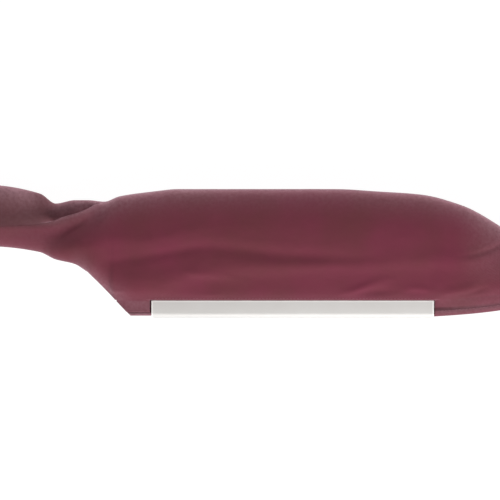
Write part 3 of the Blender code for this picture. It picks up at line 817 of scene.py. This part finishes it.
# Paleness painted on the cloth, mostly painted sheen, highlights and light on rims, edges, folds and shaded
# grooves, with some rubbed nap: how much, and how far from the edge or fold it reaches
TOP_PAINTED_SHEEN = 0.68
TOP_PAINTED_SHEEN_REACH = 16 * MM
RIM_PAINTED_SHEEN = 0.42
RIM_PAINTED_SHEEN_REACH = 9 * MM
NECK_PALENESS = 0.15
SLANT_PAINTED_HIGHLIGHT = 0.62
SLANT_PAINTED_HIGHLIGHT_REACH = 11.5 * MM
LOW_PAINTED_HIGHLIGHT = 0.13
LOW_PAINTED_HIGHLIGHT_REACH = 5 * MM
TAIL_PAINTED_LIGHT = 0.22
TAIL_PAINTED_LIGHT_REACH = 20 * MM
ROLL_PAINTED_HIGHLIGHT = 0.5
ROLL_PAINTED_HIGHLIGHT_REACH = 1.2 * MM
# Flap and apron: partly rubbed cloth and partly painted light that lifts the welt's shadow; hem: a painted
# highlight on its crest
FLAP_WEAR_AND_PAINTED_LIGHT = 0.48
APRON_WEAR_AND_PAINTED_LIGHT = 0.2
HEM_PAINTED_HIGHLIGHT = 0.4
HEM_PAINTED_HIGHLIGHT_REACH = 2.5 * MM

# Stretches along X where each of these comes in or fades
NECK_PALENESS_FADES = (JUNCTION_X - 35 * MM, JUNCTION_X - 5 * MM)
SLANT_HIGHLIGHT_RISES = (JUNCTION_X - 15 * MM, JUNCTION_X)
SLANT_HIGHLIGHT_FADES = (CORNER_X - 5 * MM, TAB_X + 6 * MM)
TAIL_PAINTED_LIGHT_RISES = (118 * MM, 150 * MM)
ROLL_HIGHLIGHT_RISES = (-192 * MM, -172 * MM)
top_painted_sheen_share = smooth_curve([
    (JUNCTION_X - 72 * MM, 1.1),
    (JUNCTION_X - 50 * MM, 1.2),
    (JUNCTION_X - 31 * MM, 0.3),
    (JUNCTION_X - 15 * MM, 1.1),
    (JUNCTION_X, 1.2),
    (TAB_X, 1.6),
    (0.0, 1.0),
    (RAIL_RIGHT_X, 1.3),
    (TAIL_X, 1.15),
])


def panel_paleness_and_painted_light(x, from_top, from_low):
    """How pale a panel is painted: painted sheen at its top seam, paler on the neck, painted light on the
    tail, and a painted highlight at its lower edge.
    """
    # painted sheen along the top seam and rim
    top = TOP_PAINTED_SHEEN * near(from_top, TOP_PAINTED_SHEEN_REACH) + RIM_PAINTED_SHEEN * near(from_top, RIM_PAINTED_SHEEN_REACH)
    # paler over the neck, fading towards the junction
    neck = NECK_PALENESS * (1 - ease(x, *NECK_PALENESS_FADES))
    # painted light on the tail
    tail = TAIL_PAINTED_LIGHT * ease(x, *TAIL_PAINTED_LIGHT_RISES) * (1 - near(from_low, TAIL_PAINTED_LIGHT_REACH))
    # painted highlight along the slanted seam and the lower edge
    slant = ease(x, *SLANT_HIGHLIGHT_RISES) * (1 - ease(x, *SLANT_HIGHLIGHT_FADES))
    low = SLANT_PAINTED_HIGHLIGHT * slant * near(from_low, SLANT_PAINTED_HIGHLIGHT_REACH)
    low = low + LOW_PAINTED_HIGHLIGHT * (1 - slant) * near(from_low, LOW_PAINTED_HIGHLIGHT_REACH)
    return top * top_painted_sheen_share(x) + neck + tail + low


def panel_stations():
    """Places along X where a panel is cut into sections, closer together at the neck's roll."""
    even = np.linspace(PANEL_START_X, TAIL_X, STATION_SAMPLES * PANEL_STATIONS)
    passed = np.cumsum(1 + ROLL_FINENESS * near(even - ROLL_MIDDLE_X, ROLL_FINE_REACH))
    return np.interp(np.linspace(passed[0], passed[-1], PANEL_STATIONS), passed, even)


def rows_along_roll(stations, a):
    """The front panel's rows, even but for the neck, where they shift so that one follows the roll's edge."""
    y = front_face(stations[:, None], a)[0]
    edge = [np.interp(-roll_line(x), -at, turn) for x, at, turn in zip(stations, y, a)]
    beside = ease(stations, *ROLL_ROWS_START) * (1 - ease(stations, *ROLL_ROWS_END))
    kept = ROLL_ROW * math.pi
    moved = (kept + beside * (np.array(edge) - kept))[:, None]
    below = moved + (math.pi - moved) * (a - kept) / (math.pi - kept)
    return np.where(a < kept, a * moved / kept, below)


def panel_piece(name, node, side, face, folds, steps, cloth):
    """One panel as a folded sheet. side is 1 for the front and -1 for the back."""
    stations = np.unique(np.append(panel_stations(), APRON_X))
    a = np.linspace(0.0, math.pi, steps + 1) + 0.0 * stations[:, None]
    if side > 0:
        a = rows_along_roll(stations, a)
    x = stations[:, None] + 0.0 * a
    y, z = face(stations[:, None], a)
    points = np.stack([x, y, z], axis=-1)
    normals = grid_normals(points, side)
    arc = arc_length(points)
    from_low = arc[:, -1:] - arc
    calm = 1 - near(np.minimum(arc, from_low), EDGE_CALM)

    height, rolled, leaning, lift = folds(x, y, arc)
    by_cuff = (1 - ease(x, CUFF_END_X, CUFF_END_X + GATHER_RUN)) * gathers(side * arc)
    under_cuff = 1 - ease(x, CUFF_END_X, CUFF_X + 2 * CUFF_DEPTH)
    by_mouth = ease(x, *PUFF_ENDS) * ease(a, *PUFF_END_TURN)
    height = calm * (height + GATHER_HEIGHT * by_cuff * (1 - under_cuff)) - NECK_INSET * under_cuff
    height = height + PUFF * (1 - by_mouth) * (1 - under_cuff)
    points = points + normals * height[..., None]
    points[..., 1] += calm * rolled + leaning
    points[..., 2] = np.maximum(points[..., 2] + lift, 0.0)

    # painted sheen, highlights and light on the panel, with some rubbed nap
    wear_and_painted_light = panel_paleness_and_painted_light(x, arc, from_low)
    if side > 0:
        # painted highlight along the roll's edge
        rolled_edge = ease(x, *ROLL_HIGHLIGHT_RISES) * roll_share(x)
        wear_and_painted_light = wear_and_painted_light + ROLL_PAINTED_HIGHLIGHT * rolled_edge * near(y - roll_line(x), ROLL_PAINTED_HIGHLIGHT_REACH)
    points, uvs, wear_and_painted_light, shown = with_apron(stations, points, arc, wear_and_painted_light, side)
    mesh = sheet_mesh(name, points, uvs, wear_and_painted_light, shown, side < 0)
    made = add_piece(name, mesh, cloth, "bag")
    solid = made.modifiers.new("cloth_thickness", "SOLIDIFY")
    solid.thickness = CLOTH
    solid.offset = -1.0
    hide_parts(node)
    return made


def with_apron(stations, points, arc, wear_and_painted_light, side):
    """The panel's grid with rows added below its lower edge: a flap over the tab, and right of the rail an
    apron that wraps the hem."""
    edge = points[:, -1]
    hem, mid = HEM_Y + hem_rise(stations), lip_mid_z(stations)
    on_tab = stations < RAIL_LEFT_X + FLAP_TUCK
    low = np.where(on_tab, np.maximum(FLAP_Y, throat_y(stations)), hem + HEM_BAND)
    by_rail = near(stations - APRON_X, HEM_HOLLOW_REACH)
    hollow = HEM_CREASE * (1 - HEM_HOLLOW * by_rail)
    crease = mid + side * (PANEL_FACE + np.where(on_tab, FLAP_LIFT * tab_share(stations), hollow))
    share = np.linspace(0.0, 1.0, APRON_STEPS + 1)[1:]
    fall = HEM_FALL + HEM_FALL_BY_RAIL * np.where(on_tab, 1.0, by_rail)[:, None]
    steep = share * (fall + (1 - fall) * share)
    flat_y = edge[:, 1:2] + (low[:, None] - edge[:, 1:2]) * share
    flat_z = edge[:, 2:3] + (crease[:, None] - edge[:, 2:3]) * steep
    turns = np.radians(np.linspace(*WRAP_TURN, WRAP_STEPS))
    wrap_y = hem[:, None] + HEM_ROLL + (HEM_ROLL + CLOTH + SEAM + HEM_CLEAR) * np.cos(turns)
    wrap_z = mid[:, None] + side * (SEWN_GAP / 2 + WELT_RADIUS + HEM_ROLL_HEIGHT * np.sin(turns))
    y = np.concatenate([flat_y, wrap_y], axis=1)
    z = np.maximum(np.concatenate([flat_z, wrap_z], axis=1), 0.0)
    added = np.stack([stations[:, None] + 0.0 * y, y, z], axis=-1)
    arc_added = arc_length(np.concatenate([points[:, -1:], added], axis=1))[:, 1:]
    arc_all = np.concatenate([arc, arc[:, -1:] + arc_added], axis=1)
    points = np.concatenate([points, added], axis=1)
    uvs = np.stack([stations[:, None] + 0.0 * arc_all, arc_all], axis=-1)
    # paleness of the apron and flap, partly rubbed cloth and partly painted light against the welt's shadow,
    # with a painted highlight along the hem's crest
    hem_wear_and_highlight = APRON_WEAR_AND_PAINTED_LIGHT + HEM_PAINTED_HIGHLIGHT * near(y - hem[:, None] - HEM_ROLL, HEM_PAINTED_HIGHLIGHT_REACH)
    wear_and_painted_light = np.concatenate([wear_and_painted_light, np.where(on_tab[:, None], FLAP_WEAR_AND_PAINTED_LIGHT, hem_wear_and_highlight)], axis=1)
    shown = np.ones((points.shape[0] - 1, points.shape[1] - 1), bool)
    first, flap = arc.shape[1] - 1, arc.shape[1] - 1 + APRON_STEPS
    left, right = stations[:-1], stations[1:]
    by_tail = left >= APRON_X
    by_tab = (left > CORNER_X + FLAP_START) & (right < RAIL_LEFT_X + FLAP_TUCK)
    shown[~by_tail, flap:] = False
    shown[~(by_tail | by_tab), first:flap] = False
    return points, uvs, wear_and_painted_light, shown


def neck_section(x, depth):
    """A closed (y, z) section of the neck at x, depth inside its face, and arc lengths from the top seam."""
    a = np.linspace(0.0, math.pi, CUFF_STEPS + 1)
    found, arcs = [], []
    for side, face in ((1, front_face), (-1, back_face)):
        y, z = face(np.array(x), a)
        points = np.stack([y, z], axis=-1)
        run = np.gradient(points, axis=0)
        normals = side * unit(np.stack([run[:, 1], -run[:, 0]], axis=1))
        normals[0], normals[-1] = (1, 0), (-1, 0)
        arc = arc_length(points)
        points = points - normals * depth
        found.append(points if side > 0 else points[-2:0:-1])
        arcs.append(arc if side > 0 else -arc[-2:0:-1])
    return np.concatenate(found), np.concatenate(arcs)


CUFF_STEPS = 150
CUFF_PUFF = 1.1
CUFF_RUFFLE = 0.5 * MM
CUFF_RUFFLE_SIZE = 4 * MM
CUFF_SEWN = 4 * MM
CUFF_SEWN_FLAT = 0.75
CUFF_LEG_STEPS, CUFF_BEND_STEPS = 10, 9


def cuff_ring(x, depth):
    """Points round the cuff at x, depth inside its plain outer face, puffed into gathers but for the seam."""
    section, arcs = neck_section(x, depth)
    plain = neck_section(x, CUFF_INNER / 2)[0]
    sewn = CUFF_SEWN_FLAT * ease(x, CUFF_END_X - CUFF_SEWN, CUFF_END_X - CUFF_SEWN / 4)
    puff = CUFF_PUFF * gathers(arcs) * (1 - sewn)
    ruffle = CUFF_RUFFLE * soft_noise(arcs, 0 * arcs, CUFF_RUFFLE_SIZE, 5.5)
    ruffled = x + ruffle * (1 - ease(x, CUFF_X, CUFF_END_X))
    ring = np.column_stack([ruffled, plain + (section - plain) * (1 + puff)[:, None]])
    ring[:, 2] = np.maximum(ring[:, 2], 0.0)
    return ring


def cuff_piece(cloth):
    """The folded cuff: a strip folded over the elastic."""
    middle, half = CUFF_INNER / 2, (CUFF_INNER - CLOTH) / 2
    bend = CUFF_X + CLOTH / 2 + half
    turns = np.linspace(0, math.pi, CUFF_BEND_STEPS)
    inner = np.linspace((CUFF_END_X, middle - half), (bend, middle - half), CUFF_LEG_STEPS, endpoint=False)
    turned = np.column_stack([bend - half * np.sin(turns), middle - half * np.cos(turns)])
    outer = np.linspace((bend, middle + half), (CUFF_END_X, middle + half), CUFF_LEG_STEPS + 1)[1:]
    path = np.concatenate([inner, turned, outer])
    mesh = loft_mesh("cuff_hem", [cuff_ring(x, depth) for x, depth in thicken(path, CLOTH)], ring=True)
    made = add_piece("cuff_hem", mesh, cloth, "bag")
    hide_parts("cuff_band")


LIP_RIPPLE = 0.35 * MM
LIP_RIPPLE_SIZE = 14 * MM
LIP_RIPPLE_RISES = (RAIL_RIGHT_X + 4 * MM, RAIL_RIGHT_X + 20 * MM)
LIP_WEB_STEPS, LIP_HOOK_STEPS, LIP_END_STEPS = 25, 28, 10
LIP_HOOK_TURN = (-90, -385)
LIP_SLANT_GAP = 0.3 * MM
LIP_LAP_BLEND = 1 * MM
# Paleness on the lips: on the tab partly rubbed by the rail and partly painted light, a painted highlight on
# the welt's crest, and painted light lifting the shade in the groove above it
TAB_WEAR_AND_PAINTED_LIGHT = 0.38
TAB_WEAR_AND_PAINTED_LIGHT_FADE = 4 * MM
LIP_CREST_PAINTED_HIGHLIGHT = 0.7
JAW_PAINTED_LIGHT = 0.6


def lip_path(x, side):
    """(y, z) path of a lip's cloth at x: down its web and round the bead."""
    hem = HEM_Y + hem_rise(x)
    ripple = LIP_RIPPLE * ease(x, *LIP_RIPPLE_RISES) * (1 - tail_share(x))
    shift = ripple * noise.noise((x / LIP_RIPPLE_SIZE, 4.5, 0.0))
    inner = lip_mid_z(x) + shift + side * SEWN_GAP / 2
    web = inner + side * CLOTH / 2
    centre = (hem + WELT_RADIUS, inner + side * WELT_RADIUS)
    start, end = hem + LIP_DEPTH + LIP_LAP, hem + 2 * WELT_RADIUS
    turns = [turn * side for turn in LIP_HOOK_TURN]
    hook = arc_points(centre, WELT_RADIUS - CLOTH / 2, *turns, LIP_HOOK_STEPS)
    return [(y, web) for y in np.linspace(start, end, LIP_WEB_STEPS)] + hook


def lip_piece(name, node, side, cloth):
    """One lip: a strip hemmed round its bead, whose left end follows the throat's slant."""
    first = TAB_X + LIP_END_INSET
    stations = np.linspace(first, TAIL_X, round((TAIL_X - first) / LIP_STATION_STEP))
    outlines = [thicken(lip_path(float(x), side), CLOTH) for x in stations]
    end = outlines[0]
    lapped = ease(end[:, 0], PANEL_Y - LIP_LAP_BLEND, PANEL_Y + LIP_LAP_BLEND)
    slant = throat_x(end[:, 0]) + LIP_SLANT_GAP + (LIP_END_INSET - LIP_SLANT_GAP) * lapped
    shares = np.linspace(0, 1, LIP_END_STEPS)[:-1]
    loops = [np.column_stack([slant + (first - slant) * share, end]) for share in shares]
    loops += [np.column_stack([np.full(len(outline), x), outline]) for x, outline in zip(stations, outlines)]
    mesh = loft_mesh(name, loops)
    x, y = np.array(loops)[..., :2].reshape(-1, 2).T
    above_hem = y - HEM_Y - hem_rise(x)
    # painted light on the tab and in the groove above the welt, and a painted highlight on the welt's crest
    wear_and_painted_light = TAB_WEAR_AND_PAINTED_LIGHT * (1 - ease(x, RAIL_LEFT_X, RAIL_LEFT_X + TAB_WEAR_AND_PAINTED_LIGHT_FADE))
    wear_and_painted_light = wear_and_painted_light + LIP_CREST_PAINTED_HIGHLIGHT * near(above_hem - WELT_RADIUS, WELT_RADIUS)
    wear_and_painted_light = wear_and_painted_light + JAW_PAINTED_LIGHT * near(above_hem - 2 * WELT_RADIUS - JAW_HEIGHT / 2, JAW_HEIGHT)
    add_wear_and_painted_light(mesh, wear_and_painted_light)
    made = add_piece(name, mesh, cloth, "bag")
    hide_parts(node)


def rail_outline(shrink):
    """(y, z) outline of the channel about its middle plane, drawn in by shrink on its outer faces."""
    half, top, edge = RAIL_THICK / 2 - shrink, RAIL_TOP_Y - shrink, RAIL_EDGE - shrink
    welt_z, corner = WELT_RADIUS + SEWN_GAP / 2, WELT_RADIUS + RUN_GAP
    corner_y, jaw = HEM_Y + WELT_RADIUS, HEM_Y + 2 * WELT_RADIUS + RUN_GAP
    slot, wall = SLOT_WIDTH / 2, CAVITY_WIDTH / 2
    return (
        [(top, wall)]
        + arc_points((top - edge, half - edge), edge, 0, 90, RAIL_CORNER_STEPS)
        + arc_points((RAIL_BOTTOM_Y + RAIL_THICK / 2, 0.0), half, 90, 270, RAIL_SPINE_STEPS)
        + arc_points((top - edge, edge - half), edge, -90, 0, RAIL_CORNER_STEPS)
        + [(top, -wall), (JAW_TOP_Y, -wall), (JAW_TOP_Y, -slot), (jaw, -slot), (jaw, -wall)]
        + arc_points((corner_y, -welt_z), corner, 270, 180, RAIL_CORNER_STEPS)
        + arc_points((corner_y, welt_z), corner, 180, 90, RAIL_CORNER_STEPS)
        + [(jaw, wall), (jaw, slot), (JAW_TOP_Y, slot), (JAW_TOP_Y, wall)]
    )


def rail_piece(plastic):
    """The plastic channel, with softly rounded ends."""
    rounding = arc_points((RAIL_END_ROUND, RAIL_END_ROUND), RAIL_END_ROUND, 180, 270, RAIL_END_STEPS)
    left = [(RAIL_LEFT_X + inset, shrink) for inset, shrink in rounding]
    ends = left + [(-x, shrink) for x, shrink in left[::-1]]
    loops = [[(x, y, MID_Z + z) for y, z in rail_outline(shrink)] for x, shrink in ends]
    mesh = loft_mesh("rail_channel", loops)
    made = add_piece("rail_channel", mesh, plastic, "fastener")
    mesh.set_sharp_from_angle(angle=RAIL_SHARP_ANGLE)
    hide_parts("fastener_rail")


STITCH_LENGTH = 2.0 * MM
STITCH_PITCH = 2.6 * MM
THREAD_RADIUS = 0.16 * MM

# One stitch: place and size of each ring along it, and in thread radii its rise and its ends' dip
STITCH_RINGS = ((-1.0, 0.25), (-0.8, 0.8), (-0.35, 1.0), (0.35, 1.0), (0.8, 0.8), (1.0, 0.25))
STITCH_SIDES = 6
STITCH_RISE, STITCH_DIP = 0.35, 0.9

# Ends of the rows along X, and how far each row lies from its edge
RAIL_ROW_X, PANEL_ROW = (RAIL_LEFT_X + 2 * MM, RAIL_RIGHT_X - 1 * MM), 0.9 * MM
TAIL_ROW_X, HEM_ROW = (APRON_X + 2 * MM, TAIL_X - 3 * MM), 0.4 * MM
TAB_ROW_X, TAB_ROW = (TAB_X - 2 * MM, RAIL_LEFT_X), 0.6 * MM
CAST_FROM = 0.1


def stitch_row(name, anchors, outward, thread):
    """A row of stitches along points that lie on the cloth. outward has the cloth's normal at each point."""
    verts, faces = [], []
    turns = [2 * math.pi * side / STITCH_SIDES for side in range(STITCH_SIDES)]
    for start, end, up in zip(map(Vector, anchors), map(Vector, anchors[1:]), map(Vector, outward)):
        run = (end - start).normalized()
        across = run.cross(up).normalized()
        up = across.cross(run)
        middle = (start + end) / 2
        faces += loft_faces(len(STITCH_RINGS), STITCH_SIDES, first=len(verts))
        for t, size in STITCH_RINGS:
            sunk = up * (THREAD_RADIUS * (STITCH_RISE - STITCH_DIP * t**4))
            for turn in turns:
                swell = (across * math.cos(turn) + up * math.sin(turn)) * THREAD_RADIUS * size
                point = middle + run * (t * STITCH_LENGTH / 2) + sunk + swell
                verts.append((point.x, point.y, max(point.z, 0.0)))
    mesh = bpy.data.meshes.new(name)
    mesh.from_pydata(verts, [], faces)
    add_piece(name, mesh, thread, "bag")


def cast_down(piece, places, side):
    """Points and normals where lines along Z, from above for side 1, first meet a piece."""
    tree = BVHTree.FromObject(piece, bpy.context.evaluated_depsgraph_get())
    points, normals = [], []
    for x, y in places:
        hit, normal = tree.ray_cast(Vector((x, y, side * CAST_FROM)), Vector((0, 0, -side)))[:2]
        if hit is not None:
            points.append(hit)
            normals.append(normal)
    return points, normals


def round_cuff():
    """Points and normals of the stitches round the cuff, from a ring on it and one inside it."""
    x = CUFF_END_X - CUFF_SEWN / 2
    both = np.hstack([cuff_ring(x, 0.0), cuff_ring(x, CUFF_INNER / 2)])
    both = np.vstack([both, both[:1]])
    around = arc_length(both[:, :3])
    places = np.arange(0.0, around[-1], STITCH_PITCH)
    both = np.column_stack([np.interp(places, around, part) for part in both.T])
    return both[:, :3], unit(both[:, :3] - both[:, 3:])


def sewn_lines(front, back, thread):
    """All rows of stitches: along the panels' lower edges, above the hems, and round the cuff."""
    runs = (RAIL_ROW_X, TAIL_ROW_X, TAB_ROW_X)
    rail_run, tail_run, tab_run = (np.arange(*ends, STITCH_PITCH) for ends in runs)
    rows = {
        "panel": [(x, PANEL_Y + PANEL_ROW) for x in rail_run],
        "hem": [(x, HEM_Y + hem_rise(x) + HEM_ROLL + HEM_ROW) for x in tail_run],
        "tab": [(x, FLAP_Y + TAB_ROW) for x in tab_run],
    }
    for name, piece, side in (("front", front, 1), ("back", back, -1)):
        for row, places in rows.items():
            points, normals = cast_down(piece, places, side)
            stitch_row(f"{name}_{row}_stitches", points, normals, thread)
    points, normals = round_cuff()
    stitch_row("cuff_stitches", points, normals, thread)


# Stage

FLOOR_SIZE = 8.0
FLOOR_Z = -0.1 * MM
FLOOR_GLOW = 1.15
FLOOR_OWN_WHITE = 0.82


def floor_material():
    """White floor that keeps the object's shadow: partly lit, mostly its own white, for rays that show it."""
    shader = Shader("white_floor")
    shader.set({"Base Color": (0.9, 0.9, 0.9), "Roughness": 0.9, "Specular IOR Level": 0.0})
    glow = shader.out(0, "Emission", {"Color": (1, 1, 1), "Strength": FLOOR_GLOW})
    share = shader.math("MULTIPLY", seen_rays(shader), FLOOR_OWN_WHITE)
    mixed = shader.out(0, "MixShader", {0: share, 1: shader.main.outputs[0], 2: glow})
    shader.feed(shader.tree.nodes["Material Output"], "Surface", mixed)
    return shader.material


def seen_rays(nodes):
    """1 for rays that show the background: camera, glossy and transmission rays."""
    path = nodes.add("LightPath").outputs
    total = nodes.math("ADD", path["Is Camera Ray"], path["Is Glossy Ray"])
    total = nodes.math("ADD", total, path["Is Transmission Ray"])
    return nodes.math("MINIMUM", total, 1.0)


def make_floor():
    half = FLOOR_SIZE / 2
    points = [(x, y, FLOOR_Z) for x, y in ((-half, -half), (half, -half), (half, half), (-half, half))]
    mesh = bpy.data.meshes.new("floor")
    mesh.from_pydata(points, [], [(0, 1, 2, 3)])
    mesh.materials.append(floor_material())
    floor = new_object("floor", mesh)


# Light: the world's share, and each softbox's place, aim, size in metres and power in watts
AMBIENT = 0.3
SOFTBOXES = (
    ("south_softbox", (0.2, -0.98, 0.577), (0, 0, 0), (1.4, 0.6), 18.2),
    ("north_softbox", (0.25, 1.17, 0.11), (0, 0, 0.01), (1.6, 0.16), 14.0),
)


def make_world():
    """Even light from all round, and a white background."""
    world = bpy.data.worlds.new("studio")
    bpy.context.scene.world = world
    world.use_nodes = True
    nodes = Nodes(world.node_tree)
    background = world.node_tree.nodes["Background"]
    nodes.feed(background, "Color", (1.0, 1.0, 1.0))
    nodes.feed(background, "Strength", nodes.ranged(seen_rays(nodes), AMBIENT, 1.0))


def softbox(name, place, aim, size, power):
    """A rectangular area light that faces aim."""
    data = bpy.data.lights.new(name, "AREA")
    data.shape = "RECTANGLE"
    data.size, data.size_y = size
    data.energy = power
    made = new_object(name, data)
    made.location = place
    made.rotation_euler = (Vector(aim) - Vector(place)).to_track_quat("-Z", "Y").to_euler()


VIEW_CENTRE = (-32 * MM, 2.1 * MM)
VIEW_WIDTH = 377 * MM
VIEW_HEIGHT = 1.6
SENSOR = 36.0


def make_camera():
    """Straight down on the bag, with +Y up in the picture."""
    data = bpy.data.cameras.new("camera")
    data.sensor_width = SENSOR
    data.lens = SENSOR * VIEW_HEIGHT / VIEW_WIDTH
    made = new_object("camera", data)
    made.location = (*VIEW_CENTRE, VIEW_HEIGHT)
    bpy.context.scene.camera = made


def make_stage():
    make_floor()
    make_world()
    for row in SOFTBOXES:
        softbox(*row)
    make_camera()
    bpy.context.scene.view_settings.view_transform = "Standard"


def make_bag():
    """All pieces, and the finishes of the imported beads and elastic."""
    cloth, thread = cloth_material(), thread_material()
    front = panel_piece("front_cloth", "front_panel", 1, front_face, front_folds, FRONT_STEPS, cloth)
    back = panel_piece("back_cloth", "back_panel", -1, back_face, back_folds, BACK_STEPS, cloth)
    cuff_piece(cloth)
    lip_piece("front_lip_hem", "front_lip", 1, cloth)
    lip_piece("back_lip_hem", "back_lip", -1, cloth)
    rail_piece(rail_material())
    sewn_lines(front, back, thread)
    cord = cord_material()
    finishes = {"front_bead": cord, "back_bead": cord, "cuff_elastic": elastic_material()}
    for node, material in finishes.items():
        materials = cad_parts[node].data.materials
        materials.clear()
        materials.append(material)


make_bag()
make_stage()
